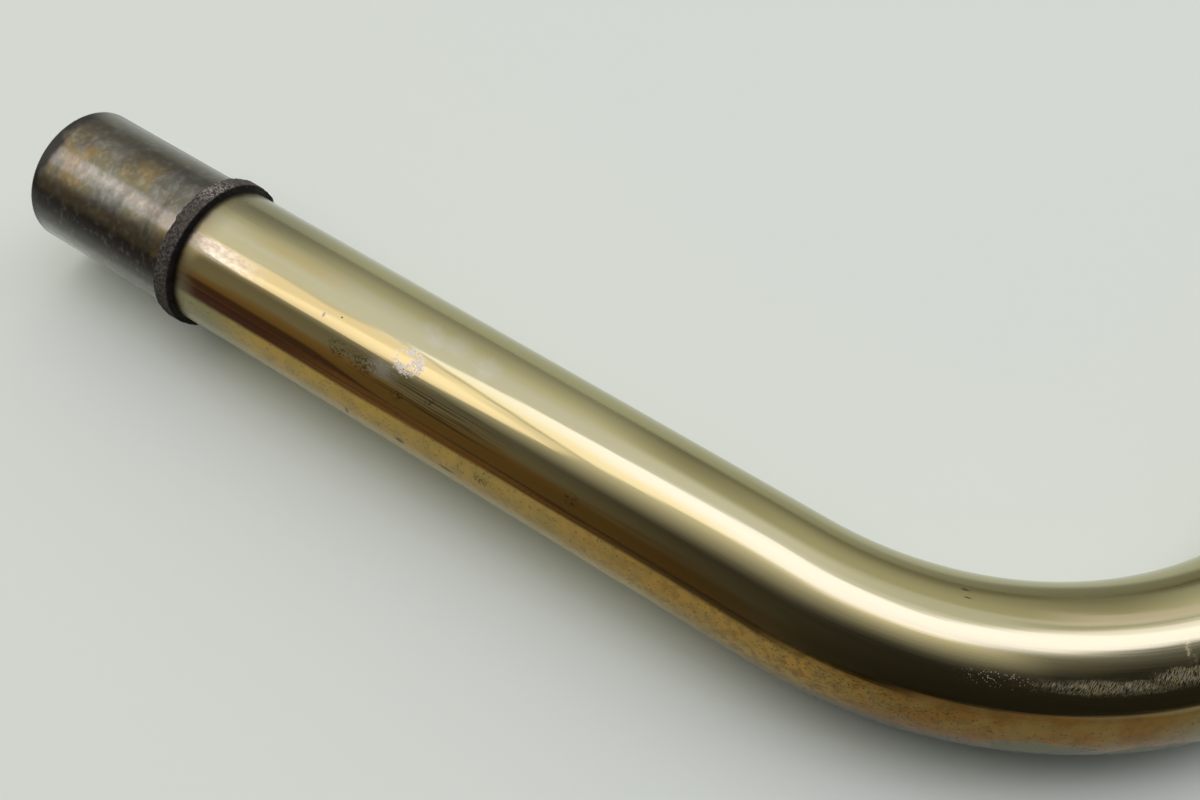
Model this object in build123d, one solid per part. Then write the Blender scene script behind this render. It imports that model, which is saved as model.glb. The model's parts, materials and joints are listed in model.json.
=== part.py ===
from build123d import *
import math
import os

# A motorcycle exhaust header, in millimetres: one length of steel tube, bent once, with a stop collar
# brazed round it a short way back from the end that enters the cylinder head.
# The origin is on the tube's axis at the collar's port face. The spigot points along -X, the bend turns
# towards +Y, and the header lies on its side with +Z up.

# Tube
tube_od = 38.0
tube_wall = 1.5
spigot_length = 45.0  # bare end ahead of the collar, which slides into the port
port_straight = 171.0  # from the collar's back face to the start of the bend
bend_radius = 113.0  # of the tube's centre line
bend_angle = 90.0  # degrees
tail_straight = 240.0  # plain end that slides into the silencer
mouth_round = 0.8  # outside edge of both cut ends
mouth_chamfer = 0.3  # inside edge of both cut ends

# Stop collar
collar_wall = 2.05
collar_width = 5.2
collar_chamfer = 0.6  # the two outside edges
braze_gap = 0.05  # all round, between the collar and the tube

tube_radius = tube_od / 2
bore_radius = tube_radius - tube_wall
collar_bore_radius = tube_radius + braze_gap
collar_radius = collar_bore_radius + collar_wall

# Centre line of the tube: a straight, an arc tangent to it, and a second straight.
mouth = Vector(-spigot_length, 0, 0)
bend_start = Vector(collar_width + port_straight, 0, 0)
port_run = Line(mouth, bend_start)
elbow = JernArc(port_run @ 1, port_run % 1, bend_radius, bend_angle)
tail_direction = elbow % 1
tail_run = Line(elbow @ 1, elbow @ 1 + tail_direction * tail_straight)


def make_header_tube():
    """The ring-shaped section swept along the centre line, with the burrs taken off both cut ends."""
    section = Plane(mouth, z_dir=port_run % 0) * (Circle(tube_radius) - Circle(bore_radius))
    tube = sweep(section, path=Wire([port_run, elbow, tail_run]))
    outer_edges = [edge for end in cut_ends(tube) for edge in end.outer_wire().edges()]
    tube = fillet(outer_edges, mouth_round)
    inner_edges = [edge for end in cut_ends(tube) for wire in end.inner_wires() for edge in wire.edges()]
    return chamfer(inner_edges, mouth_chamfer)


def cut_ends(tube):
    """The two flat rings where the tube was sawn off."""
    return tube.faces().filter_by(GeomType.PLANE)


def make_stop_collar():
    """A turned ring: square faces for the gasket and the clamp, and broken edges outside."""
    middle = Pos(collar_width / 2, collar_bore_radius + collar_wall / 2)
    profile = middle * Rectangle(collar_width, collar_wall)
    profile = chamfer(profile.vertices().group_by(Axis.Y)[-1], collar_chamfer)
    return revolve(profile, Axis.X)


def resting_turn():
    """Degrees about the tail that bring the collar and the tail down on one level surface."""
    collar_back = Vector(collar_width, 0, 0)
    reach = (collar_back - tail_run @ 0).cross(tail_direction).length
    return math.degrees(math.asin((collar_radius - tube_radius) / reach))


nodes = {"header_tube": make_header_tube(), "stop_collar": make_stop_collar()}
level = Axis((0, 0, 0), tail_direction)

os.makedirs("parts", exist_ok=True)
for name, solid in nodes.items():
    laid = solid.rotate(level, resting_turn())
    export_step(laid, f"parts/{name}.step")
    print(name, "volume", round(laid.volume), "mm3")
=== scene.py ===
# %% [markdown]
# A motorcycle exhaust header: one length of steel tube, bent once through a right angle, with a stop
# collar brazed round it near the end that enters the cylinder head. Heat has turned the tube gold,
# and the short spigot in front of the collar has stayed dark. The part is measured and packed as a
# CAD model first. This lesson loads that model as a fixed frame and builds the looks around it, in
# metres, so nothing has to be fitted by eye.

# %% Load the frame
import json
import math

import bmesh
import bpy
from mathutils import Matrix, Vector


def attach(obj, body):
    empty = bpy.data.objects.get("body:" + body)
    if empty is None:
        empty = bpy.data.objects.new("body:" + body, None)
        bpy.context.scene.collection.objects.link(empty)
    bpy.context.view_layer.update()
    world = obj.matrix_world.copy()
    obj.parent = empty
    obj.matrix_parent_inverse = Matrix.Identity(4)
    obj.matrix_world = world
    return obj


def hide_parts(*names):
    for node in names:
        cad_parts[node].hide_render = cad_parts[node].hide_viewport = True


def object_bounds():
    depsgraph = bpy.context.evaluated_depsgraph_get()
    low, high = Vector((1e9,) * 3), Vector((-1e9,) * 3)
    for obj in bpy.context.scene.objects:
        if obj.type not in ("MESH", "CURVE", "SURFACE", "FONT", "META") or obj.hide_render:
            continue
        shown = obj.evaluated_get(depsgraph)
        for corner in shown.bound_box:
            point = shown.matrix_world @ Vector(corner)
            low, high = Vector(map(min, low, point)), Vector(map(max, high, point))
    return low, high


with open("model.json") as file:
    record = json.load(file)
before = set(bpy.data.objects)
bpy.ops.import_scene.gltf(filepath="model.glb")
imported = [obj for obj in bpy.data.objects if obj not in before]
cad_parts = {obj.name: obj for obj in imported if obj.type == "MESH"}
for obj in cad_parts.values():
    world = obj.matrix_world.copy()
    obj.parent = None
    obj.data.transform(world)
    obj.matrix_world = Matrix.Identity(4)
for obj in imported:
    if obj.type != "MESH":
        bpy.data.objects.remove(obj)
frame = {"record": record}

cad_box = [list(corner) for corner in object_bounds()]
floor_level = cad_box[0][2]
print("CAD box", cad_box)

# %% [markdown]
# The sizes come first. The radii and the small tilt of the tube are read from the record's mounts:
# the collar is wider than the tube, so the header lies with its collar lower than the straight behind
# it, and the mount on the collar's face says by how much. The lengths are those of the CAD source.
# The tube is modelled level, with the port at the origin, and tilted at the end.

# %% Sizes of the tube
mounts = {mount["name"]: mount for mount in frame["record"]["mounts"]}
tube_radius = mounts["tail_slip"]["dims"]["r_mm"] / 1000
bore_radius = mounts["port_bore"]["dims"]["r_mm"] / 1000
tube_wall = tube_radius - bore_radius
spigot_length = 0.045
collar_width = 0.0052
port_straight = 0.171
bend_radius = 0.113
tail_straight = 0.240
bend_start = collar_width + port_straight
tail_x = bend_start + bend_radius
lay_turn = math.asin(mounts["port_seat"]["axis"][2])
print("tube radius", tube_radius, "wall", round(tube_wall, 5), "tilt", round(math.degrees(lay_turn), 3))

# %% [markdown]
# Blender's operators act on whatever is selected, and loading the frame leaves the CAD nodes
# selected. These helpers start each piece from a clean selection, and select points of the piece in
# edit mode by a rule about their place, as you would with a box select in the viewport. Two lengths
# say how close is close enough: one for finding points and a smaller one for welding them.

# %% Helpers for modelling
near = 1e-5
weld = 1e-6


def start_fresh():
    """Leave edit mode and select nothing."""
    if bpy.context.object and bpy.context.object.mode != "OBJECT":
        bpy.ops.object.mode_set(mode="OBJECT")
    bpy.ops.object.select_all(action="DESELECT")


def select_where(piece, rule):
    """In edit mode, select the points that the rule accepts, and the edges and faces between them."""
    mesh = bmesh.from_edit_mesh(piece.data)
    for part in (*mesh.faces, *mesh.edges, *mesh.verts):
        part.select = False
    chosen = [point for point in mesh.verts if rule(point.co)]
    for point in chosen:
        point.select = True
    mesh.select_flush(True)
    bmesh.update_edit_mesh(piece.data)
    return len(chosen)


def apply_modifier(piece, kind, name, **settings):
    """Add a modifier with these settings and make its result the mesh."""
    modifier = piece.modifiers.new(name, kind)
    for key, value in settings.items():
        setattr(modifier, key, value)
    bpy.ops.object.modifier_apply(modifier=name)


# %% [markdown]
# The real tube is drawn straight and pulled round a die. The same order works here: a ring of points
# at the port mouth is extruded along the first straight, spun a quarter turn about the die's centre,
# and extruded again for the tail. A curve with a round bevel would be quicker, but spinning keeps the
# rings square to the tube and gives even faces round the bend, which the reflections need.

# %% Draw the tube's outer skin
ring_points = 128
bend_steps = 72
start_fresh()
bpy.ops.mesh.primitive_circle_add(
    vertices=ring_points, radius=tube_radius, location=(-spigot_length, 0, 0), rotation=(0, math.pi / 2, 0)
)
tube = bpy.context.object
tube.name = "header_pipe"
tube.data.name = "header_pipe"
bpy.ops.object.transform_apply(location=True, rotation=True, scale=True)
bpy.ops.object.mode_set(mode="EDIT")
bpy.ops.mesh.select_all(action="SELECT")
bpy.ops.mesh.extrude_edges_move(TRANSFORM_OT_translate={"value": (spigot_length + bend_start, 0, 0)})
bpy.ops.mesh.spin(
    steps=bend_steps, angle=math.pi / 2, center=(bend_start, bend_radius, 0), axis=(0, 0, -1)
)
select_where(tube, lambda p: p.x > tail_x - 1.1 * tube_radius and abs(p.y - bend_radius) < near)
bpy.ops.mesh.extrude_edges_move(TRANSFORM_OT_translate={"value": (0, tail_straight, 0)})
bpy.ops.mesh.select_all(action="SELECT")
bpy.ops.mesh.remove_doubles(threshold=weld)
bpy.ops.mesh.normals_make_consistent(inside=False)
bpy.ops.object.mode_set(mode="OBJECT")
print("skin", len(tube.data.vertices), "points, reach", [round(v, 4) for v in tube.dimensions])

# %% [markdown]
# The skin becomes a tube when Solidify gives it a wall on the inside. Both ends were sawn off and the
# burrs taken away, so the outer edge of each mouth is rounded and the inner edge just broken. Those
# edges catch thin lines of light, which is how an eye reads the thickness of a tube.

# %% Give the tube its wall and break its edges
mouth_round = 0.0008
mouth_chamfer = 0.0003
apply_modifier(tube, "SOLIDIFY", "Wall", thickness=tube_wall, offset=-1.0, use_even_offset=True)


def at_a_mouth(p):
    """True on the two sawn ends."""
    return abs(p.x + spigot_length) < near or abs(p.y - bend_radius - tail_straight) < near


def from_axis(p):
    """Distance from the tube's centre line, for a point at either end."""
    return math.hypot(p.y, p.z) if p.x < 0 else math.hypot(p.x - tail_x, p.z)


bpy.ops.object.mode_set(mode="EDIT")
select_where(tube, lambda p: at_a_mouth(p) and abs(from_axis(p) - tube_radius) < near)
bpy.ops.mesh.bevel(offset=mouth_round, segments=4, affect="EDGES")
select_where(tube, lambda p: at_a_mouth(p) and abs(from_axis(p) - bore_radius) < near)
bpy.ops.mesh.bevel(offset=mouth_chamfer, segments=1, affect="EDGES")
bpy.ops.object.mode_set(mode="OBJECT")
print("tube", len(tube.data.polygons), "faces")

# %% [markdown]
# Polishing lines run along the tube and follow its bend, and so do the tints that heat leaves. A
# pattern in plain object coordinates would cut straight across the bend. So each point also
# remembers where it was on the straight tube, before bending: its length along the centre line, how
# far it lies towards the outside of the bend, and how high. That vector has no seam anywhere.

# %% Remember the unbent tube


def unbent_place(p):
    """Length along the centre line, distance towards the outside of the bend, and height."""
    arm = Vector((p.x - bend_start, p.y - bend_radius))
    if p.x <= bend_start and p.y < bend_radius:
        return p.x, -p.y, p.z
    if p.y < bend_radius:
        turned = math.atan2(arm.x, -arm.y)
        return bend_start + bend_radius * turned, arm.length - bend_radius, p.z
    return bend_start + bend_radius * math.pi / 2 + p.y - bend_radius, p.x - tail_x, p.z


unbent = tube.data.attributes.new("unbent", "FLOAT_VECTOR", "POINT")
for point, stored in zip(tube.data.vertices, unbent.data):
    stored.vector = unbent_place(point.co)
longest = max(stored.vector[0] for stored in unbent.data)
print("unbent length", round(longest + spigot_length, 4))

# %% [markdown]
# The collar is wider than the tube, so the header rests on the collar's edge and on its tail. The tube
# is turned about the origin by the tilt that the mounts gave. It is shaded smooth, except across edges
# sharper than 30 degrees, so that the mouths stay crisp.

# %% Lay the tube down
crisp_edge = math.radians(30)
start_fresh()
tube.select_set(True)
bpy.context.view_layer.objects.active = tube
tube.rotation_euler = (0, lay_turn, 0)
bpy.ops.object.transform_apply(location=True, rotation=True, scale=True)
bpy.ops.object.shade_smooth_by_angle(angle=crisp_edge)
tube_low = min(point.co.z for point in tube.data.vertices)
print("tube lowest", round(tube_low, 5), "floor", round(floor_level, 5))

# %% [markdown]
# The stop collar is a short ring that takes the push of the clamp. On a lathe its section is cut
# first, so here a small plane is sized to that section, its two outer corners are bevelled, the face
# is thrown away and the outline is divided finely and spun right round. The fine division is for the
# next step: burnt scale and spatter make this ring rough, and a rough edge has to be real shape,
# because it shows against the light.

# %% Turn the stop collar
collar_bore = 0.01905
collar_wall = 0.00205
collar_chamfer = 0.0006
collar_steps = 560
start_fresh()
bpy.ops.mesh.primitive_plane_add(
    size=1, location=(collar_width / 2, 0, collar_bore + collar_wall / 2), rotation=(math.pi / 2, 0, 0)
)
collar = bpy.context.object
collar.name = "stop_ring"
collar.data.name = "stop_ring"
collar.scale = (collar_width, collar_wall, 1)
bpy.ops.object.transform_apply(location=True, rotation=True, scale=True)
bpy.ops.object.mode_set(mode="EDIT")
select_where(collar, lambda p: p.z > collar_bore + collar_wall / 2)
bpy.ops.mesh.bevel(offset=collar_chamfer, segments=2, affect="VERTICES")
bpy.ops.mesh.select_all(action="SELECT")
bpy.ops.mesh.delete(type="ONLY_FACE")
section = bmesh.from_edit_mesh(collar.data)
print("section", len(section.verts), "corners")

# %% [markdown]
# Each side of the section is cut into steps of about a fifth of a millimetre. Sides of one length are
# cut together, the longest first, and then the outline is spun about the tube's axis.

# %% Divide the section and spin it
section_step = 0.0002
same_length = 2e-6
lengths = sorted({round(edge.calc_length(), 6) for edge in section.edges}, reverse=True)
for length in lengths:
    section = bmesh.from_edit_mesh(collar.data)
    for edge in section.edges:
        edge.select_set(abs(edge.calc_length() - length) < same_length)
    cuts = round(length / section_step) - 1
    if cuts > 0:
        bpy.ops.mesh.subdivide(number_cuts=cuts)
bpy.ops.mesh.select_all(action="SELECT")
bpy.ops.mesh.spin(steps=collar_steps, angle=2 * math.pi, center=(0, 0, 0), axis=(1, 0, 0))
bpy.ops.mesh.select_all(action="SELECT")
bpy.ops.mesh.remove_doubles(threshold=weld)
bpy.ops.mesh.normals_make_consistent(inside=False)
bpy.ops.object.mode_set(mode="OBJECT")
print("collar", len(collar.data.polygons), "faces, section edges", lengths)

# %% [markdown]
# Displace modifiers roughen the ring. Each reads a cloud texture in the piece's own space. The middle
# level is high, so the surface is mostly eaten inwards: the ring keeps its outer size and doesn't
# sink into the floor. Broad lumps come first, then granules, and last the port-side edge is bitten
# back along the tube, which gives the ragged line where the collar meets the spigot.

# %% Roughen the collar


def cloud(name, size, depth):
    """A soft noise for displacing, with features of this size in metres."""
    texture = bpy.data.textures.new(name, "CLOUDS")
    texture.noise_scale = size
    texture.noise_depth = depth
    return texture


port_edge = collar.vertex_groups.new(name="port_edge")
rough_skin = collar.vertex_groups.new(name="rough_skin")
edge_reach = 0.0014
smooth_depth, full_depth = 0.0002, 0.001
rough_edge = math.radians(60)
for point in collar.data.vertices:
    out = math.hypot(point.co.y, point.co.z) - collar_bore
    edge_share = max(0.0, 1 - point.co.x / edge_reach) * min(1.0, out / collar_wall)
    if edge_share > 0:
        port_edge.add([point.index], edge_share, "REPLACE")
    if out > smooth_depth:
        rough_skin.add([point.index], min(1.0, out / full_depth), "REPLACE")
for name, size, depth, strength in (
    ("Lumps", 0.0035, 1, 0.0005),
    ("Granules", 0.0008, 2, 0.0005),
):
    apply_modifier(
        collar, "DISPLACE", name, texture=cloud(name, size, depth), texture_coords="LOCAL",
        direction="NORMAL", mid_level=0.8, strength=strength, vertex_group="rough_skin",
    )
apply_modifier(
    collar, "DISPLACE", "Bites", texture=cloud("Bites", 0.0016, 2), texture_coords="LOCAL",
    direction="X", mid_level=0.3, strength=0.0016, vertex_group="port_edge",
)
collar.rotation_euler = (0, lay_turn, 0)
bpy.ops.object.transform_apply(location=True, rotation=True, scale=True)
bpy.ops.object.shade_smooth_by_angle(angle=rough_edge)
collar_low = min(point.co.z for point in collar.data.vertices)
print("collar lowest", round(collar_low, 5), "floor", round(floor_level, 5))

# %% [markdown]
# Materials are node trees, and a tree in code is only nodes, settings and links. This helper adds one
# node: each input is either a number, which is set on the socket, or another node's output, which is
# linked to it. An effect that both metals need, such as pits or stains, is built once as a node group
# with named sockets and then placed in each material with its own values.

# %% Helpers for materials


def put(tree, kind, inputs=None, **settings):
    """Add a node, set it up, feed its inputs and return it."""
    item = tree.nodes.new("ShaderNode" + kind)
    for key, value in settings.items():
        setattr(item, key, value)
    for key, value in (inputs or {}).items():
        if isinstance(value, bpy.types.NodeSocket):
            tree.links.new(value, item.inputs[key])
        else:
            item.inputs[key].default_value = value
    return item


def maths(tree, operation, *values):
    """A Math node's result."""
    return put(tree, "Math", dict(enumerate(values)), operation=operation).outputs[0]


def vectors(tree, operation, first, second=(0, 0, 0), give="Vector"):
    """A Vector Math node's result: a vector, or a number if it gives its Value."""
    return put(tree, "VectorMath", {0: first, 1: second}, operation=operation).outputs[give]


def spread(tree, value, low, high, to_low=0.0, to_high=1.0):
    """The value, read from low to high with soft ends, as a share from to_low to to_high."""
    inputs = {"Value": value, "From Min": low, "From Max": high, "To Min": to_low, "To Max": to_high}
    return put(tree, "MapRange", inputs, interpolation_type="SMOOTHSTEP").outputs[0]


def blend(tree, share, first, second, how="MIX"):
    """Two colours mixed by a share."""
    inputs = {"Factor": share, 6: first, 7: second}
    return put(tree, "Mix", inputs, data_type="RGBA", blend_type=how).outputs[2]


def between(tree, share, first, second):
    """Two numbers mixed by a share."""
    return put(tree, "Mix", {"Factor": share, 2: first, 3: second}).outputs[0]


def group(name, inputs, outputs):
    """A new node group with these sockets, and its two end nodes."""
    tree = bpy.data.node_groups.new(name, "ShaderNodeTree")
    for socket, kind, value in inputs:
        made = tree.interface.new_socket(socket, in_out="INPUT", socket_type="NodeSocket" + kind)
        made.default_value = value
    for socket, kind in outputs:
        tree.interface.new_socket(socket, in_out="OUTPUT", socket_type="NodeSocket" + kind)
    return tree, tree.nodes.new("NodeGroupInput").outputs, tree.nodes.new("NodeGroupOutput").inputs


def use(tree, made, inputs):
    """Place a node group in a tree and return its outputs."""
    return put(tree, "Group", inputs, node_tree=made).outputs


# %% [markdown]
# Four effects are shared. Grain is noise stretched along one direction, for polishing lines. Specks
# are scattered dots: each cell of a Voronoi pattern draws a lot, and only some cells get a dot. Stains
# are soft clouds with a low and a high limit. Spot is an oval patch at one place with a ragged rim,
# for the marks that the photograph shows in one place only.

# %% Build the shared effects
grain, given, result = group(
    "Grain",
    [("Vector", "Vector", (0, 0, 0)), ("Stretch", "Vector", (1, 1, 1)), ("Detail", "Float", 3.0)],
    [("Height", "Float")],
)
stretched = vectors(grain, "MULTIPLY", given["Vector"], given["Stretch"])
waves = {"Vector": stretched, "Scale": 1.0, "Detail": given["Detail"], "Roughness": 0.6}
grain.links.new(put(grain, "TexNoise", waves).outputs["Fac"], result["Height"])

specks, given, result = group(
    "Specks",
    [("Vector", "Vector", (0, 0, 0)), ("Scale", "Float", 1000.0),
     ("Share", "Float", 0.1), ("Size", "Float", 0.35)],
    [("Mask", "Float")],
)
finer = maths(specks, "MULTIPLY", given["Scale"], 2.0)
wobble = put(specks, "TexNoise", {"Vector": given["Vector"], "Scale": finer}).outputs["Color"]
sized = put(specks, "VectorMath", {0: given["Vector"], "Scale": given["Scale"]}, operation="SCALE").outputs[0]
cells = put(specks, "TexVoronoi", {"Vector": vectors(specks, "ADD", sized, wobble), "Scale": 1.0}).outputs
drawn = put(specks, "SeparateColor", {"Color": cells["Color"]}).outputs[0]
lucky = maths(specks, "LESS_THAN", drawn, given["Share"])
dot = spread(specks, cells["Distance"], given["Size"], maths(specks, "MULTIPLY", given["Size"], 0.5))
specks.links.new(maths(specks, "MULTIPLY", lucky, dot), result["Mask"])

stains, given, result = group(
    "Stains",
    [("Vector", "Vector", (0, 0, 0)), ("Scale", "Float", 100.0),
     ("Low", "Float", 0.4), ("High", "Float", 0.6)],
    [("Mask", "Float")],
)
billows = {"Vector": given["Vector"], "Scale": given["Scale"], "Detail": 4.0, "Roughness": 0.55}
clouds = put(stains, "TexNoise", billows).outputs["Fac"]
stains.links.new(spread(stains, clouds, given["Low"], given["High"]), result["Mask"])

spot, given, result = group(
    "Spot",
    [("Place", "Vector", (0, 0, 0)), ("Centre", "Vector", (0, 0, 0)), ("Size", "Vector", (1, 1, 1)),
     ("Ragged", "Float", 0.3), ("Soft", "Float", 0.4)],
    [("Mask", "Float")],
)
aside = vectors(spot, "SUBTRACT", given["Place"], given["Centre"])
scaled = vectors(spot, "DIVIDE", aside, given["Size"])
reach = vectors(spot, "LENGTH", scaled, give="Value")
rim = put(spot, "TexNoise", {"Vector": scaled, "Scale": 3.0, "Detail": 4.0}).outputs["Fac"]
rim = maths(spot, "MULTIPLY", maths(spot, "SUBTRACT", rim, 0.5), given["Ragged"])
reach = maths(spot, "ADD", reach, rim)
inside = maths(spot, "SUBTRACT", 1.0, given["Soft"])
spot.links.new(spread(spot, reach, 1.0, inside), result["Mask"])
print("shared effects", [made.name for made in bpy.data.node_groups])

# %% [markdown]
# A few short helpers lay those effects on a material, so that each later line says what is wanted and
# where. A mask is a number from 0 to 1 at each point: masks can be cut, weakened and put together.

# %% Helpers for colours and masks


def tint(red, green, blue):
    """A colour, in linear light."""
    return (red, green, blue, 1.0)


def within(tree, value, low, high, soft):
    """A share that is 1 between low and high and falls to 0 over a soft margin outside them."""
    rise = spread(tree, value, low - soft, low)
    return maths(tree, "MULTIPLY", rise, spread(tree, value, high + soft, high))


def both(tree, first, second):
    """The share that two masks have in common."""
    return maths(tree, "MULTIPLY", first, second)


def weaker(tree, mask, share):
    """A mask at part of its strength."""
    return maths(tree, "MULTIPLY", mask, share)


def most(tree, *masks):
    """The strongest of several masks."""
    strongest = masks[0]
    for mask in masks[1:]:
        strongest = maths(tree, "MAXIMUM", strongest, mask)
    return strongest


def grained(tree, at, stretch, detail):
    """Grain with so many waves to the metre along each axis."""
    return use(tree, grain, {"Vector": at, "Stretch": stretch, "Detail": detail})["Height"]


def speckled(tree, at, scale, share, size):
    """Specks: so many cells to the metre, the share of cells that have a dot, and the dot's size."""
    return use(tree, specks, {"Vector": at, "Scale": scale, "Share": share, "Size": size})["Mask"]


def stained(tree, at, scale, low, high):
    """Stains: clouds of this scale, cut off softly between two limits."""
    return use(tree, stains, {"Vector": at, "Scale": scale, "Low": low, "High": high})["Mask"]


# %% [markdown]
# The tube's metal is one material with three zones: the gold tube behind the collar, the dark spigot
# in front of it, and the sooty bore. Two measures place everything on it. The first is the length
# along the tube from the collar's port face. The second is the lean: how many degrees a place faces
# up from level, 0 on the outside of the bend, 90 on top and 180 on the inside.

# %% Start the tube's steel
steel = bpy.data.materials.new("heat_tinted_steel")
steel.use_nodes = True
tree = steel.node_tree
tree.nodes.clear()
unbent_at = put(tree, "Attribute", attribute_name="unbent").outputs["Vector"]
axes = put(tree, "SeparateXYZ", {"Vector": unbent_at}).outputs
along, outward, upward = axes["X"], axes["Y"], axes["Z"]
round_angle = maths(tree, "ARCTAN2", outward, upward)
lean = maths(tree, "SUBTRACT", 90.0, maths(tree, "DEGREES", round_angle))
arc = maths(tree, "MULTIPLY", round_angle, tube_radius)
place = put(tree, "CombineXYZ", {"X": along, "Y": arc}).outputs[0]
off_axis = put(tree, "CombineXYZ", {"X": outward, "Y": upward}).outputs[0]
depth = vectors(tree, "LENGTH", off_axis, give="Value")
in_bore = maths(tree, "LESS_THAN", depth, tube_radius - 0.75 * tube_wall)
on_spigot = maths(tree, "LESS_THAN", along, collar_width / 2)
print("measures", len(tree.nodes), "nodes")

# %% [markdown]
# The gold is a heat tint: a film of oxide so thin that it colours the reflection. On top it is straw,
# and it turns olive towards the inside of the bend. Further along, painted shade darkens the top and the
# band just past the highlight, with a thin painted dark line at its edge, and a painted line on the
# inside stands in for the horizon that the tube reflects. Streaks keep the changes from looking airbrushed.

# %% Tint the top of the tube and paint its shade
streaks = grained(tree, unbent_at, (18, 260, 260), 3.0)
brushed = grained(tree, unbent_at, (28, 2400, 2400), 2.0)
wander = maths(tree, "MULTIPLY", maths(tree, "SUBTRACT", streaks, 0.5), 22.0)
streaked = maths(tree, "ADD", lean, wander)
straw, olive = tint(0.43, 0.40, 0.255), tint(0.43, 0.392, 0.20)
gold = blend(tree, spread(tree, streaked, 96, 108), straw, olive)
gold = blend(tree, spread(tree, streaked, 86, 77), gold, tint(0.43, 0.368, 0.19))
scorched = both(tree, spread(tree, streaked, 100, 112), spread(tree, along, 0.055, 0.012))
gold = blend(tree, scorched, gold, tint(0.29, 0.265, 0.14))
# Painted shade: the top of the tube is darkened along the bend.
shaded_top = both(tree, within(tree, lean, 106, 122, 6), within(tree, along, 0.145, 0.245, 0.03))
gold = blend(tree, weaker(tree, shaded_top, 0.85), gold, tint(0.27, 0.24, 0.108))
# Painted reflection: a dark line on the inside stands in for the horizon that the tube reflects.
painted_horizon_lean = spread(tree, along, 0.205, 0.245, 126.0, 133.0)
painted_horizon_line = within(tree, maths(tree, "SUBTRACT", lean, painted_horizon_lean), -4, 4, 7)
painted_horizon_line = both(tree, painted_horizon_line, spread(tree, along, 0.11, 0.25))
gold = blend(tree, painted_horizon_line, gold, tint(0.20, 0.17, 0.07))
# Painted shade beside the highlight's far edge, and a thin painted dark line along that edge.
far_shade = both(tree, within(tree, lean, 97, 103, 3), spread(tree, along, 0.165, 0.21))
gold = blend(tree, far_shade, gold, tint(0.345, 0.32, 0.19))
painted_edge_line = both(tree, within(tree, lean, 99.5, 101, 1.8), spread(tree, along, 0.216, 0.236))
gold = blend(tree, weaker(tree, painted_edge_line, 0.8), gold, tint(0.24, 0.22, 0.11))
blush = both(tree, within(tree, streaked, 103, 110, 4), spread(tree, along, 0.225, 0.245))
gold = blend(tree, weaker(tree, blush, 0.7), gold, tint(0.46, 0.385, 0.245))
print("top", len(tree.nodes), "nodes so far")

# %% [markdown]
# Next to the collar a frosted grain is painted pale in the band that reflects the softbox, so it is a
# painted highlight, and a yellow patch lies on top.

# %% Frost the hot end and paint its highlight
# Painted highlight: the pale frosted colour lies only in the band that reflects the softbox.
frost_highlight_band = both(tree, within(tree, lean, 64, 74, 4), spread(tree, along, 0.034, 0.012))
frost = spread(tree, grained(tree, unbent_at, (500, 900, 900), 3.0), 0.38, 0.62)
frosted_highlight = blend(tree, frost, tint(0.43, 0.385, 0.305), tint(0.58, 0.54, 0.46))
gold = blend(tree, frost_highlight_band, gold, frosted_highlight)
yellow_patch = both(tree, within(tree, streaked, 95, 99, 9), within(tree, along, 0.029, 0.036, 0.020))
gold = blend(tree, weaker(tree, yellow_patch, 0.8), gold, tint(0.42, 0.35, 0.165))
print("hot end", len(tree.nodes), "nodes so far")

# %% [markdown]
# Down the outer side the tint passes through bronze and brown to amber and orange, with some rust.
# In the bend it is darker, and in part that is painted shade. Underneath, a painted reflection of bright
# floor makes it pale along the straight, and painted shade makes it dark in the bend.

# %% Tint the outer side
bronze, brown = tint(0.42, 0.33, 0.14), tint(0.39, 0.21, 0.045)
amber, orange, bend_shade_orange = tint(0.44, 0.285, 0.066), tint(0.385, 0.255, 0.075), tint(0.22, 0.113, 0.028)
gold = blend(tree, spread(tree, streaked, 66, 57), gold, bronze)
brown_side = both(tree, spread(tree, streaked, 54, 46), spread(tree, along, 0.20, 0.15))
gold = blend(tree, brown_side, gold, brown)
outer = blend(tree, spread(tree, along, 0.06, 0.12), amber, orange)
redder = both(tree, spread(tree, along, 0.11, 0.15), spread(tree, lean, 10, 20))
outer = blend(tree, redder, outer, tint(0.38, 0.217, 0.055))
# Partly painted shade: the outer side is darker in the bend.
outer = blend(tree, spread(tree, along, 0.178, 0.208), outer, bend_shade_orange)
rusting = stained(tree, unbent_at, 430.0, 0.44, 0.62)
rusting = both(tree, rusting, spread(tree, along, 0.11, 0.19, 0.12, 0.6))
outer = blend(tree, rusting, outer, tint(0.15, 0.085, 0.026))
outer = blend(tree, spread(tree, along, 0.034, 0.014), outer, tint(0.23, 0.21, 0.095))
patches = stained(tree, unbent_at, 170.0, 0.42, 0.62)
outer = blend(tree, weaker(tree, patches, 0.4), outer, tint(0.25, 0.19, 0.07))
# Painted reflection: the underside along the straight is lightened as if it reflected brighter floor.
painted_light_under = both(tree, spread(tree, lean, 10, -8), spread(tree, along, 0.178, 0.135))
outer = blend(tree, painted_light_under, outer, tint(0.64, 0.53, 0.27))
# Painted shade: the underside in the bend is darkened.
painted_shade_under = both(tree, spread(tree, lean, 8, -8), spread(tree, along, 0.165, 0.205))
outer = blend(tree, painted_shade_under, outer, tint(0.085, 0.075, 0.05))
outer_top = spread(tree, along, 0.18, 0.21, 37.5, 43.0)
outer_soft = spread(tree, along, 0.16, 0.20, 1.3, 3.0)
below_outer = maths(tree, "DIVIDE", maths(tree, "SUBTRACT", outer_top, lean), outer_soft)
gold = blend(tree, spread(tree, below_outer, -1, 1), gold, outer)
print("outer side", len(tree.nodes), "nodes so far")
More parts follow.
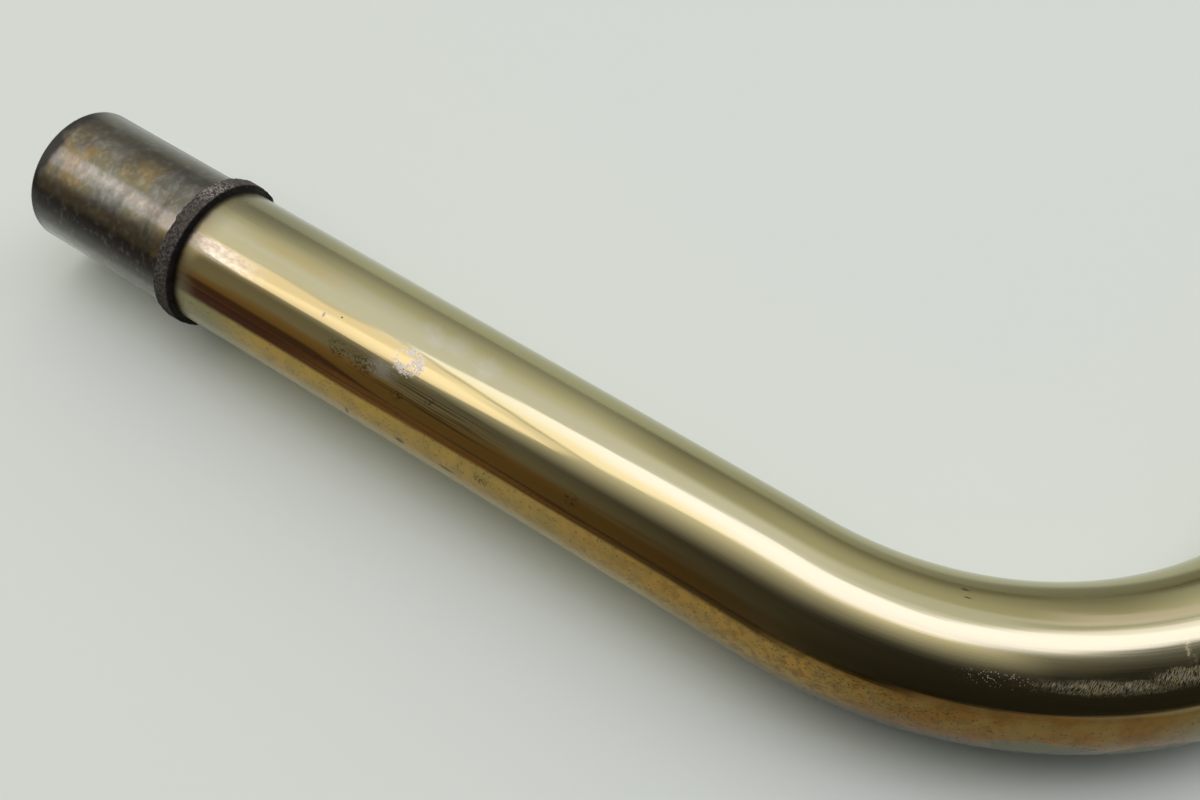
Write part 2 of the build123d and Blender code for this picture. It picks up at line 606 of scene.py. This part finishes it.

# %% [markdown]
# From the collar, where the exhaust is hottest, a burnt red stripe runs along the side. Its edges
# change height along the tube, and the polishing lines show through it. Its darkness is in part painted
# reflection: it lays the dark band that the tube reflects from the room lower down the side than the
# room alone puts it, most of all near the collar.

# %% Burn the red stripe and paint its dark reflection
# Partly painted reflection: the stripe's low edge sets where the dark band begins.
stripe_low = spread(tree, along, 0.05, 0.13, 27.5, 31.0)
above_low = maths(tree, "SUBTRACT", maths(tree, "MULTIPLY_ADD", wander, 0.25, lean), stripe_low)
below_top = maths(tree, "SUBTRACT", lean, spread(tree, along, 0.045, 0.075, 43.0, 37.1))
stripe_and_dark_reflection = both(tree, spread(tree, above_low, -2.0, 2.5), spread(tree, below_top, 1.3, -1.3))
stripe_and_dark_reflection = both(tree, stripe_and_dark_reflection, within(tree, along, 0.011, 0.172, 0.02))
burnt_and_reflected_dark = blend(tree, spread(tree, along, 0.03, 0.065), tint(0.052, 0.0135, 0.005), tint(0.150, 0.066, 0.017))
burnt_and_reflected_dark = blend(tree, spread(tree, along, 0.10, 0.16), burnt_and_reflected_dark, tint(0.075, 0.044, 0.015))
burnt_and_reflected_dark = blend(tree, spread(tree, brushed, 0.52, 0.40, 0.0, 0.7), burnt_and_reflected_dark, tint(0.06, 0.024, 0.008))
burnt_and_reflected_dark = blend(tree, spread(tree, lean, 35.5, 38.5), burnt_and_reflected_dark, tint(0.18, 0.078, 0.027))
gold = blend(tree, stripe_and_dark_reflection, gold, burnt_and_reflected_dark)
print("red stripe", len(tree.nodes), "nodes so far")

# %% [markdown]
# Polish is a low roughness. It varies a little with the streaks and the polishing lines, and it is
# best along the straight. The last few millimetres before the collar are dull.

# %% Polish the gold
dull_end = spread(tree, along, 0.0135, 0.0065)
gold = blend(tree, weaker(tree, dull_end, 0.55), gold, tint(0.24, 0.205, 0.12))
gold_rough = spread(tree, streaks, 0.3, 0.7, 0.08, 0.125)
gold_rough = maths(tree, "ADD", gold_rough, spread(tree, brushed, 0.40, 0.65, 0.0, 0.05))
gold_rough = maths(tree, "MULTIPLY", gold_rough, spread(tree, along, 0.10, 0.19, 0.55, 1.0))
gold_rough = between(tree, dull_end, gold_rough, 0.36)
print("gold tints", len(tree.nodes), "nodes so far")

# %% [markdown]
# Use and storage left marks in certain places. Near the middle of the straight there is a crusty ring
# of residue with a grey smear and pits beside it, and faint smudges behind it. Each mark is a spot on
# the unrolled skin, filled with speckles or stains.

# %% Crust, pit and smudge the straight


def on_skin(length, degrees):
    """A place on the unrolled skin, by length along the tube in metres and lean in degrees."""
    return (length, math.radians(90 - degrees) * tube_radius, 0)


def mark(length, degrees, size, ragged=0.5, soft=0.5):
    """A spot at this place, with half its length along the tube and half its width round it."""
    inputs = {"Place": place, "Centre": on_skin(length, degrees), "Size": (*size, 1)}
    return use(tree, spot, {**inputs, "Ragged": ragged, "Soft": soft})["Mask"]


fine_specks = speckled(tree, unbent_at, 2300.0, 0.82, 0.85)
crumbling = stained(tree, unbent_at, 420.0, 0.30, 0.46)
residue = mark(0.0740, 71.5, (0.0050, 0.0041), 1.0, 0.5)
residue = both(tree, residue, both(tree, fine_specks, crumbling))
hollow = mark(0.0724, 72.5, (0.0025, 0.0018), 0.9, 0.5)
residue = both(tree, residue, maths(tree, "SUBTRACT", 1.0, hollow))
smear = mark(0.0685, 57, (0.0062, 0.0028), 0.9, 0.9)
pit_places = (
    (0.0560, 55.5, (0.0042, 0.0034)), (0.0635, 54, (0.0056, 0.0030)), (0.0525, 39, (0.0012, 0.0009)),
    (0.075, 46, (0.0026, 0.0018)), (0.083, 55, (0.0020, 0.0016)), (0.102, 18, (0.0030, 0.0018)),
    (0.1245, 46, (0.0024, 0.0022)),
)
pits = most(tree, *(mark(*pit, 0.8, 0.7) for pit in pit_places))
pits = both(tree, pits, stained(tree, unbent_at, 1500.0, 0.48, 0.56))
smudge_places = (
    (0.076, 97, (0.0040, 0.0034)), (0.0735, 103, (0.0042, 0.0030)),
    (0.0815, 102, (0.0046, 0.0044)), (0.091, 98, (0.0046, 0.0042)),
)
smudges = most(tree, *(mark(*smudge, 0.7, 0.7) for smudge in smudge_places))
mottle = stained(tree, unbent_at, 700.0, 0.42, 0.6)
smudges = both(tree, smudges, spread(tree, mottle, 0.0, 1.0, 0.65, 1.0))
wide_brush = mark(0.088, 55, (0.024, 0.0036), 0.3, 0.8)
low_brush = mark(0.082, 46.5, (0.030, 0.0016), 0.3, 0.8)
brush_lines = both(tree, spread(tree, brushed, 0.51, 0.42), most(tree, wide_brush, low_brush))
print("straight", len(pit_places), "pits,", len(smudge_places), "smudges")

# %% [markdown]
# The outer side is freckled with corrosion, most of all where the bend begins. A few nicks and one
# dent are scattered about, and low on the bend the tint has flaked off in a bare patch.

# %% Freckle and nick the tube
freckle_zone = mark(0.198, 25, (0.030, 0.0060), 0.6, 0.8)
freckle_share = between(tree, freckle_zone, 0.18, 0.9)
drawn_out = vectors(tree, "MULTIPLY", unbent_at, (0.55, 1.0, 1.0))
freckles = speckled(tree, drawn_out, 2300.0, freckle_share, 0.5)
freckles = both(tree, freckles, spread(tree, lean, 39, 30, 0.0, 0.7))
nick_places = (
    (0.092, 7, (0.0032, 0.0006), 0.5), (0.0615, 3, (0.0007, 0.0018), 0.9),
    (0.078, 7, (0.0018, 0.0010), 1.4), (0.053, 75, (0.0004, 0.0003), 1.0),
    (0.2125, 120, (0.0013, 0.00035), 3.2), (0.213, 113, (0.0012, 0.00025), 3.2),
)
nicks = most(tree, *(mark(*nick) for nick in nick_places))
dent = mark(0.0485, 70, (0.0005, 0.0008), 1.0)
bare_start = mark(0.2325, 8, (0.0150, 0.0038), 0.6, 0.7)
bare_zone = most(tree, bare_start, mark(0.253, 1, (0.0150, 0.0040), 0.6, 0.8))
flaking = grained(tree, unbent_at, (150, 260, 260), 5.0)
bare = spread(tree, maths(tree, "MULTIPLY_ADD", flaking, 2.4, bare_zone), 1.5, 1.8)
bare = both(tree, bare, spread(tree, bare_zone, 0.02, 0.2))
veil = mark(0.267, 22, (0.0200, 0.0080), 0.6, 0.95)
print("freckles, a bare patch and", len(nick_places), "nicks")

# %% [markdown]
# At the bend the pipe was dragged over something hard. Grain that is drawn out far in one direction and
# then slanted gives short strokes, two long spots keep them in a band, and loose flecks lie ahead of it.

# %% Scratch the bend
slant = math.radians(62)
slanted = put(tree, "VectorRotate", {"Vector": place, "Angle": slant}, rotation_type="Z_AXIS").outputs[0]
strokes = grained(tree, slanted, (700, 7500, 1), 3.0)
hatch_zone = mark(0.2425, 62, (0.0245, 0.0024), 0.8, 0.8)
deep_zone = mark(0.2575, 65.5, (0.0110, 0.0030), 0.9, 0.8)
hatch = both(tree, spread(tree, strokes, 0.42, 0.60), most(tree, hatch_zone, deep_zone))
fleck_zone = mark(0.2215, 62, (0.0135, 0.0030), 0.7, 0.9)
flecks = both(tree, speckled(tree, unbent_at, 2200.0, 0.42, 0.45), fleck_zone)
scrape = both(tree, mark(0.2595, 78, (0.0014, 0.0046), 0.9, 0.9), mottle)
scuffs = most(tree, hatch, flecks, weaker(tree, scrape, 0.4))
print("scratches", len(tree.nodes), "nodes so far")

# %% [markdown]
# The marks go over the gold in order, scratches first and dark pits last. Most are rougher than the
# polish round them, and the shader will make the dusty ones less metallic.

# %% Lay the marks over the gold
gold = blend(tree, scuffs, gold, tint(0.66, 0.60, 0.44))
gold = blend(tree, both(tree, scuffs, mottle), gold, tint(0.72, 0.60, 0.28))
gold = blend(tree, weaker(tree, veil, 0.7), gold, tint(0.20, 0.185, 0.11))
gold = blend(tree, weaker(tree, bare, 0.85), gold, tint(0.19, 0.195, 0.135))
gold = blend(tree, weaker(tree, smudges, 0.30), gold, tint(0.50, 0.49, 0.44))
gold = blend(tree, weaker(tree, smear, 0.7), gold, tint(0.42, 0.40, 0.33))
gold = blend(tree, residue, gold, tint(0.78, 0.74, 0.68))
gold = blend(tree, dent, gold, tint(0.22, 0.21, 0.20))
gold = blend(tree, weaker(tree, brush_lines, 0.8), gold, tint(0.10, 0.075, 0.03))
gold = blend(tree, weaker(tree, most(tree, pits, freckles, nicks), 0.85), gold, tint(0.05, 0.038, 0.02))
dusty = most(tree, residue, weaker(tree, smear, 0.3))
gold_rough = between(tree, most(tree, scuffs, dusty, weaker(tree, smudges, 0.3)), gold_rough, 0.6)
gold_rough = between(tree, most(tree, bare, pits, freckles), gold_rough, 0.45)
print("marks", len(tree.nodes), "nodes so far")

# %% [markdown]
# The joint with the collar is the last of the gold. Flux and smoke have crept out of it, so a thin
# brown line with small ticks follows the edge all round.

# %% Stain the joint
ticks = grained(tree, unbent_at, (140, 520, 520), 5.0)
creep = maths(tree, "ADD", collar_width - 0.0008, maths(tree, "MULTIPLY", ticks, 0.0030))
joint = spread(tree, maths(tree, "SUBTRACT", along, creep), 0.0009, -0.0002)
gold = blend(tree, weaker(tree, joint, 0.45), gold, tint(0.12, 0.08, 0.035))
print("joint", len(tree.nodes), "nodes so far")

# %% [markdown]
# The spigot sits inside the port, where burning gas reaches it from both sides. It is darker and
# blotched: grey, brown, bronze and a little blue. It was cleaned with emery cloth turned round it, so
# its fine lines run round the tube and not along it. The band that reflects the softbox is painted
# paler, as a painted highlight.

# %% Blotch the spigot
turned_lines = grained(tree, unbent_at, (4200, 70, 70), 2.0)
elsewhere = vectors(tree, "ADD", unbent_at, (0.31, 0.17, 0.05))
brown_cloud = grained(tree, unbent_at, (75, 55, 55), 5.0)
blue_cloud = grained(tree, elsewhere, (110, 75, 75), 5.0)
soot_cloud = grained(tree, elsewhere, (120, 85, 85), 3.0)
browned = spread(tree, brown_cloud, 0.42, 0.58)
spigot = blend(tree, browned, tint(0.215, 0.19, 0.11), tint(0.25, 0.18, 0.085))
spigot = blend(tree, spread(tree, blue_cloud, 0.46, 0.60, 0.0, 0.75), spigot, tint(0.22, 0.222, 0.20))
spigot = blend(tree, spread(tree, lean, 96, 113, 0.0, 0.75), spigot, tint(0.07, 0.066, 0.046))
# Painted highlight: the band that reflects the softbox is made paler.
lit_band = within(tree, lean, 66.5, 76.5, 5)
lit_band_tint = blend(tree, spread(tree, brown_cloud, 0.50, 0.64), tint(0.335, 0.32, 0.29), tint(0.36, 0.30, 0.225))
spigot = blend(tree, weaker(tree, lit_band, 0.75), spigot, lit_band_tint)
spigot = blend(tree, spread(tree, soot_cloud, 0.42, 0.68, 0.0, 0.65), spigot, tint(0.09, 0.082, 0.065))
bronzing = spread(tree, brown_cloud, 0.54, 0.64)
bronzed = blend(tree, bronzing, tint(0.125, 0.093, 0.052), tint(0.24, 0.165, 0.06))
spigot = blend(tree, spread(tree, lean, 58, 48), spigot, bronzed)
print("spigot clouds", len(tree.nodes), "nodes so far")

# %% [markdown]
# Down its side the spigot is first black, then grey and at last pale: a painted reflection, black where
# the room's dark side is reflected and pale where the floor is. A fine etched mottle lies over all of it,
# and soot has darkened the rim.

# %% Paint reflections on the spigot's side and darken its rim
# Painted reflection: lean bands from dark to pale down the side.
side_reflection_tints = (
    (44, 37, tint(0.018, 0.012, 0.009)), (30, 18, tint(0.058, 0.053, 0.043)),
    (17, 5, tint(0.17, 0.17, 0.155)), (4, -12, tint(0.58, 0.58, 0.55)),
)
for begins, full, reflection_tint in side_reflection_tints:
    spigot = blend(tree, spread(tree, lean, begins, full), spigot, reflection_tint)
etched = grained(tree, elsewhere, (620, 430, 430), 5.0)
spigot = blend(tree, spread(tree, etched, 0.62, 0.36, 0.0, 0.2), spigot, tint(0.02, 0.018, 0.015))
spigot = blend(tree, spread(tree, etched, 0.50, 0.70, 0.0, 0.05), spigot, tint(1.0, 0.97, 0.90))
soot_reach = maths(tree, "MULTIPLY", maths(tree, "SUBTRACT", soot_cloud, 0.5), 0.012)
smoky_edge = maths(tree, "ADD", along, soot_reach)
rim_share = spread(tree, smoky_edge, -spigot_length + 0.0050, -spigot_length + 0.0012)
spigot = blend(tree, rim_share, spigot, tint(0.04, 0.037, 0.033))
spigot_rough = spread(tree, turned_lines, 0.3, 0.7, 0.15, 0.24)
print("spigot", len(tree.nodes), "nodes so far")

# %% [markdown]
# Two masks choose between the zones. The bump is kept weak, because on polished metal even a small
# slope moves a reflection a long way.

# %% Join the zones into the tube's shader
colour = blend(tree, on_spigot, gold, spigot)
colour = blend(tree, in_bore, colour, tint(0.018, 0.016, 0.014))
rough = between(tree, on_spigot, gold_rough, spigot_rough)
rough = between(tree, in_bore, rough, 0.85)
metal = maths(tree, "SUBTRACT", 1.0, most(tree, in_bore, weaker(tree, dusty, 0.9)))
height = between(tree, on_spigot, brushed, turned_lines)
bump = put(tree, "Bump", {"Height": height, "Strength": 0.03, "Distance": 0.0002})
shader = put(
    tree, "BsdfPrincipled",
    {"Base Color": colour, "Roughness": rough, "Metallic": metal, "Normal": bump.outputs[0]},
)
put(tree, "OutputMaterial", {"Surface": shader.outputs[0]})
tube.data.materials.append(steel)
print(steel.name, len(tree.nodes), "nodes")

# %% [markdown]
# The collar is crusted with scale and old gasket. Its face towards the port is grey and granular with
# pale grains. On top the grains are painted denser and paler as a painted highlight, the colour darkens
# towards the bottom as painted shade, and its back face, behind the clamp, is painted black as painted shade.

# %% Finish the collar's scale and paint its light and shade
scale = bpy.data.materials.new("burnt_scale")
scale.use_nodes = True
tree = scale.node_tree
tree.nodes.clear()
spot_at = put(tree, "TexCoord").outputs["Object"]
spot_axes = put(tree, "SeparateXYZ", {"Vector": spot_at}).outputs
# Painted highlight: grains on top are denser and paler, where the light falls; the grains elsewhere are the
# scale's own.
top_height = maths(tree, "MULTIPLY_ADD", spot_axes["Y"], 0.36, spot_axes["Z"])
lit_top = spread(tree, top_height, 0.0208, 0.0222)
pale_grains_lit_on_top = speckled(tree, spot_at, 2100.0, between(tree, lit_top, 0.30, 0.60), 0.7)
brown_share = stained(tree, spot_at, 260.0, 0.4, 0.7)
ash_share = stained(tree, spot_at, 1300.0, 0.42, 0.66)
crust = blend(tree, brown_share, tint(0.042, 0.037, 0.032), tint(0.075, 0.057, 0.041))
crust = blend(tree, ash_share, crust, tint(0.135, 0.12, 0.10))
grain_and_highlight_colour = blend(tree, lit_top, tint(0.12, 0.105, 0.086), tint(0.34, 0.31, 0.255))
crust = blend(tree, pale_grains_lit_on_top, crust, grain_and_highlight_colour)
# Painted shade: the colour darkens towards the bottom, where the ring meets the floor.
painted_low_shade = spread(tree, spot_axes["Z"], 0.014, -0.004, 0.10, 0.72)
crust = blend(tree, painted_low_shade, crust, tint(0.012, 0.010, 0.008))
# Painted shade: the back face, turned away from the light, is painted black.
shaded_back_face = spread(tree, spot_axes["X"], 0.0045, 0.0051)
crust = blend(tree, shaded_back_face, crust, tint(0.014, 0.012, 0.011))
crust_rough = spread(tree, ash_share, 0.0, 1.0, 0.62, 0.85)
crust_metal = spread(tree, ash_share, 0.0, 1.0, 0.35, 0.1)
shader = put(
    tree, "BsdfPrincipled",
    {"Base Color": crust, "Roughness": crust_rough, "Metallic": crust_metal, "Specular IOR Level": 0.2},
)
put(tree, "OutputMaterial", {"Surface": shader.outputs[0]})
collar.data.materials.append(scale)
print(scale.name, len(tree.nodes), "nodes")

# %% [markdown]
# Both pieces belong to the one rigid body, and each takes the place of its CAD node.

# %% Tie the pieces to the frame
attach(tube, "root")
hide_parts("header_tube")
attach(collar, "root")
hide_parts("stop_collar")
print("tied", tube.name, "and", collar.name)

# %% [markdown]
# The stage is a plain pale floor under the lowest point of the part.

# %% Lay the floor
floor_size = 6.0
start_fresh()
bpy.ops.mesh.primitive_plane_add(size=floor_size, location=(0, 0, floor_level))
floor = bpy.context.object
floor.name = "bench"
bench = bpy.data.materials.new("pale_bench")
bench.use_nodes = True
tree = bench.node_tree
tree.nodes["Principled BSDF"].inputs["Base Color"].default_value = tint(0.745, 0.80, 0.70)
tree.nodes["Principled BSDF"].inputs["Roughness"].default_value = 0.6
floor.data.materials.append(bench)
print(floor.name, "at", round(floor_level, 5))

# %% [markdown]
# The camera's place, turn and lens come from fitting the outlines of the spigot, collar, straight and
# bend to the photo. It looks down steeply on the straight from the outside of the bend.

# %% Aim the camera
camera_data = bpy.data.cameras.new("photo_camera")
camera = bpy.data.objects.new("photo_camera", camera_data)
bpy.context.collection.objects.link(camera)
camera.location = (0.185777, -0.096261, 0.259263)
camera.rotation_euler = (math.radians(27.558), 0, math.radians(32.646))
camera_data.lens = 35.045
camera_data.sensor_width = 36
camera_data.clip_start = 0.01
bpy.context.scene.camera = camera
bpy.context.view_layer.update()
print("camera", [round(value, 3) for value in camera.location])

# %% [markdown]
# Bright metal is a mirror, so lighting it means choosing what it sees. A softbox overhead draws the
# bright stripe along the tube. It is hung square to the camera and measured in metres to the right of
# the origin and back from it.

# %% Hang the softbox
rightward = Vector((camera.matrix_world.col[0][0], camera.matrix_world.col[0][1], 0)).normalized()
away = Vector((-rightward.y, rightward.x, 0))
light_height = 1.0
box_right, box_back = (-1.40, 1.00), (-0.30, 0.65)
softbox_data = bpy.data.lights.new("softbox", "AREA")
softbox_data.shape = "RECTANGLE"
softbox_data.size = box_right[1] - box_right[0]
softbox_data.size_y = box_back[1] - box_back[0]
softbox_data.energy = math.pi * softbox_data.size * softbox_data.size_y
softbox = bpy.data.objects.new("softbox", softbox_data)
bpy.context.collection.objects.link(softbox)
softbox.location = rightward * sum(box_right) / 2 + away * sum(box_back) / 2 + Vector((0, 0, light_height))
softbox.rotation_euler = (0, 0, math.atan2(rightward.y, rightward.x))
print("softbox", round(softbox_data.energy, 2), "W")

# %% [markdown]
# The softbox's cloth hangs crooked, so the light shines only between two uneven edges. It reads its own
# place across the box as numbers from 0 to 1. A seam across the cloth is the thin dark line in the
# bright stripe, and the cloth is warmer on the left of it.

# %% Shape the cloth


def levels(tree, value, stops):
    """A brightness read from a few stops, each a position from 0 to 1 and a level."""
    ramp = put(tree, "ValToRGB", {"Fac": value})
    elements = ramp.color_ramp.elements
    while len(elements) < len(stops):
        elements.new(0.5)
    for element, (position, level) in zip(elements, stops):
        element.position = position
        element.color = (level, level, level, 1.0)
    return ramp.outputs["Color"]


def cloth_edge(tree, across, corners):
    """How far back one edge of the cloth lies, from a few corners given in metres right and back."""
    stops = [((right - box_right[0]) / softbox_data.size, (back - box_back[0]) / softbox_data.size_y)
             for right, back in corners]
    return levels(tree, across, stops)


softbox_data.use_nodes = True
tree = softbox_data.node_tree
tree.nodes.clear()
cloth = put(tree, "SeparateXYZ", {"Vector": put(tree, "NewGeometry").outputs["Parametric"]}).outputs
near_edge = cloth_edge(tree, cloth["X"], [
    (-1.15, -0.05), (-0.95, -0.12), (-0.80, -0.18), (-0.60, -0.19), (-0.36, -0.175),
    (-0.22, -0.07), (0.0, -0.03), (0.08, -0.035), (0.18, -0.13), (0.38, -0.19),
    (0.52, -0.12), (0.60, -0.06), (0.67, 0.0), (0.76, 0.06),
])
far_edge = cloth_edge(tree, cloth["X"], [
    (-1.1, 0.55), (-0.9, 0.46), (-0.63, 0.34), (-0.55, 0.25), (-0.45, 0.28), (-0.38, 0.34), (-0.20, 0.37),
    (-0.06, 0.41), (0.36, 0.40), (0.50, 0.25), (0.56, 0.29), (0.63, 0.39), (0.70, 0.50), (0.76, 0.65),
])
past_near = maths(tree, "SUBTRACT", cloth["Y"], near_edge)
before_far = maths(tree, "SUBTRACT", far_edge, cloth["Y"])
lit_share = both(tree, spread(tree, past_near, -0.02, 0.02), spread(tree, before_far, -0.02, 0.02))
lit_share = both(tree, lit_share, within(tree, cloth["X"], 0.115, 0.97, 0.015))
seam_left, seam_slope = 0.245, 0.30
seam_start = seam_left + seam_slope * box_back[0] + box_right[0]
seam_offset = maths(tree, "MULTIPLY_ADD", cloth["Y"], seam_slope * softbox_data.size_y, seam_start)
past_seam = maths(tree, "MULTIPLY_ADD", cloth["X"], softbox_data.size, seam_offset)
lit_share = both(tree, lit_share, spread(tree, maths(tree, "ABSOLUTE", past_seam), 0.016, 0.036))
warm_cloth = blend(tree, spread(tree, cloth["Y"], 0.38, 0.46), tint(1.22, 1.03, 1.0), tint(0.62, 0.45, 0.38))
near_cloth = spread(tree, cloth["Y"], 0.44, 0.32, 0.35, 1.0)
beside_seam = both(tree, spread(tree, past_seam, -0.20, -0.06), near_cloth)
warm_cloth = blend(tree, beside_seam, warm_cloth, tint(0.50, 0.42, 0.36))
white_cloth = blend(tree, spread(tree, past_seam, 0.05, 0.55), tint(1.02, 0.93, 0.98), tint(1.27, 1.20, 1.75))
cloth_colour = blend(tree, spread(tree, past_seam, -0.02, 0.02), warm_cloth, white_cloth)
glow = put(tree, "Emission", {"Color": blend(tree, lit_share, tint(0, 0, 0), cloth_colour), "Strength": 1.0})
put(tree, "OutputLight", {"Surface": glow.outputs[0]})
print("cloth", len(tree.nodes), "nodes")

# %% [markdown]
# The room behind is pale and the side behind the camera is dark: the dark stripe under the highlight is
# that dark side, and the orange band below it is the floor. Two measures place the light. One is how far
# over a direction lies, from the back wall at 0 past the ceiling at 0.5 to the front at 1. The other is
# how far it lies to the right.

# %% Light the room
room = bpy.data.worlds.new("studio_room")
bpy.context.scene.world = room
room.use_nodes = True
tree = room.node_tree
tree.nodes.clear()
towards = put(tree, "TexCoord").outputs["Generated"]
back_share = vectors(tree, "DOT_PRODUCT", towards, away, give="Value")
right_share = vectors(tree, "DOT_PRODUCT", towards, rightward, give="Value")
high_share = put(tree, "SeparateXYZ", {"Vector": towards}).outputs["Z"]
over = maths(tree, "DIVIDE", maths(tree, "ARCTAN2", high_share, back_share), math.pi)
sideways = maths(tree, "MULTIPLY_ADD", right_share, 0.5, 0.5)
back_over = maths(tree, "ADD", over, spread(tree, right_share, 0.36, 0.46, 0.0, 0.05))
pale_back = levels(tree, back_over, [
    (0.0, 0.45), (0.035, 0.48), (0.07, 0.58), (0.10, 0.68), (0.14, 0.78), (0.20, 1.0),
    (0.28, 1.2), (0.37, 1.25), (0.46, 1.2), (0.49, 1.0), (0.51, 0.6), (0.53, 0.3),
    (0.56, 0.2), (0.60, 0.13), (0.66, 0.05), (0.70, 0.0),
])
bent_over = maths(tree, "SUBTRACT", over, spread(tree, right_share, -0.1, 0.15, 0.0, 0.03))
front_glow = levels(tree, bent_over, [
    (0.44, 0.0), (0.46, 1.2), (0.50, 1.15), (0.53, 0.85), (0.56, 0.60), (0.58, 0.46),
    (0.60, 0.33), (0.62, 0.21), (0.64, 0.12), (0.67, 0.05), (0.70, 0.0),
])
left_end = spread(tree, right_share, -0.85, -0.5, 0.4, 1.0)
glow_ends = both(tree, spread(tree, right_share, 0.37, 0.23), left_end)
front_glow = blend(tree, glow_ends, tint(0, 0, 0), front_glow)
dark_front = levels(tree, sideways, [
    (0.06, 0.30), (0.115, 0.25), (0.15, 0.21), (0.20, 0.15),
    (0.25, 0.10), (0.30, 0.065), (0.40, 0.045), (0.5, 0.038),
])
dark_front = blend(tree, spread(tree, over, 0.70, 0.90), dark_front, tint(0.66, 0.66, 0.66), "MULTIPLY")
low_front = both(tree, spread(tree, over, 0.95, 0.97), spread(tree, right_share, -0.25, -0.05))
dark_front = blend(tree, low_front, dark_front, tint(0.5, 0.5, 0.5))
walls = blend(tree, 1.0, blend(tree, 1.0, pale_back, front_glow, "LIGHTEN"), dark_front, "LIGHTEN")
seen = put(tree, "LightPath").outputs["Is Camera Ray"]
backdrop = blend(tree, seen, walls, tint(0.62, 0.65, 0.61))
sky = put(tree, "Background", {"Color": backdrop, "Strength": 1.0})
put(tree, "OutputWorld", {"Surface": sky.outputs[0]})
bpy.context.scene.view_settings.view_transform = "Standard"
print("room", len(tree.nodes), "nodes")
